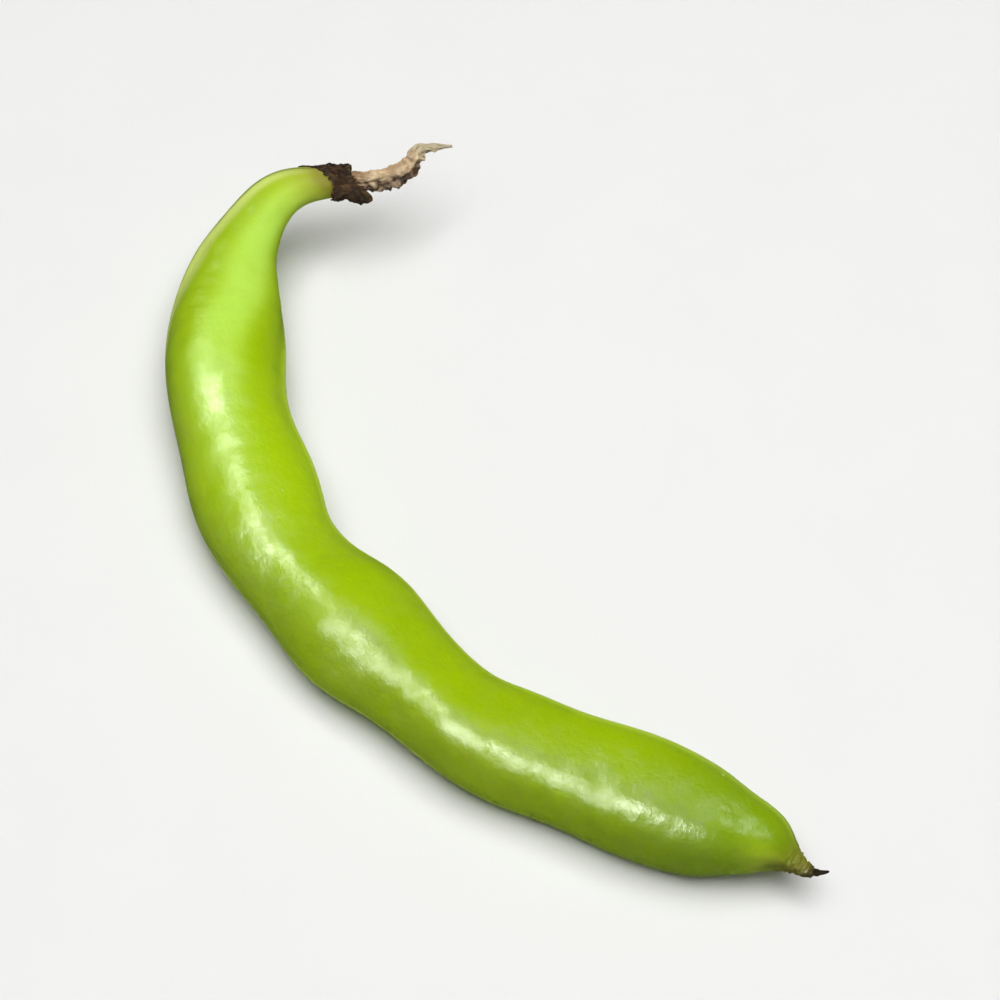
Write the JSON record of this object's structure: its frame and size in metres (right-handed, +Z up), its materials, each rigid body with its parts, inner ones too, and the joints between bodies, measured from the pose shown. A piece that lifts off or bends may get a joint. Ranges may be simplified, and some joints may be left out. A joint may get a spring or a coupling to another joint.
{
  "type": "broad bean pod",
  "caption": "Whole closed broad bean pod lying on its side: bowed green hull swollen over its beans, with a narrow neck, dry calyx and stalk at one end and a pointed beak at the other.",
  "frame": {"origin": "on the surface that the pod lies on, under the middle of its outline seen from above", "axes": "+X along the pod's length towards the beak, with the stalk at -X. +Y towards the hollow side of the bow, so the pod bows towards -Y. +Z up, away from the surface it lies on"},
  "size_m": [0.1614, 0.075, 0.021],
  "materials": {
    "skin": "satin, waxy green plant skin",
    "withered": "matte, dry and blackened",
    "straw": "matte, dry and fibrous",
    "dried_tip": "matte, dry and black"
  },
  "bodies": {
    "root": {"pod": "skin", "calyx": "withered", "stalk": "straw", "style": "dried_tip"}
  },
  "joints": []
}
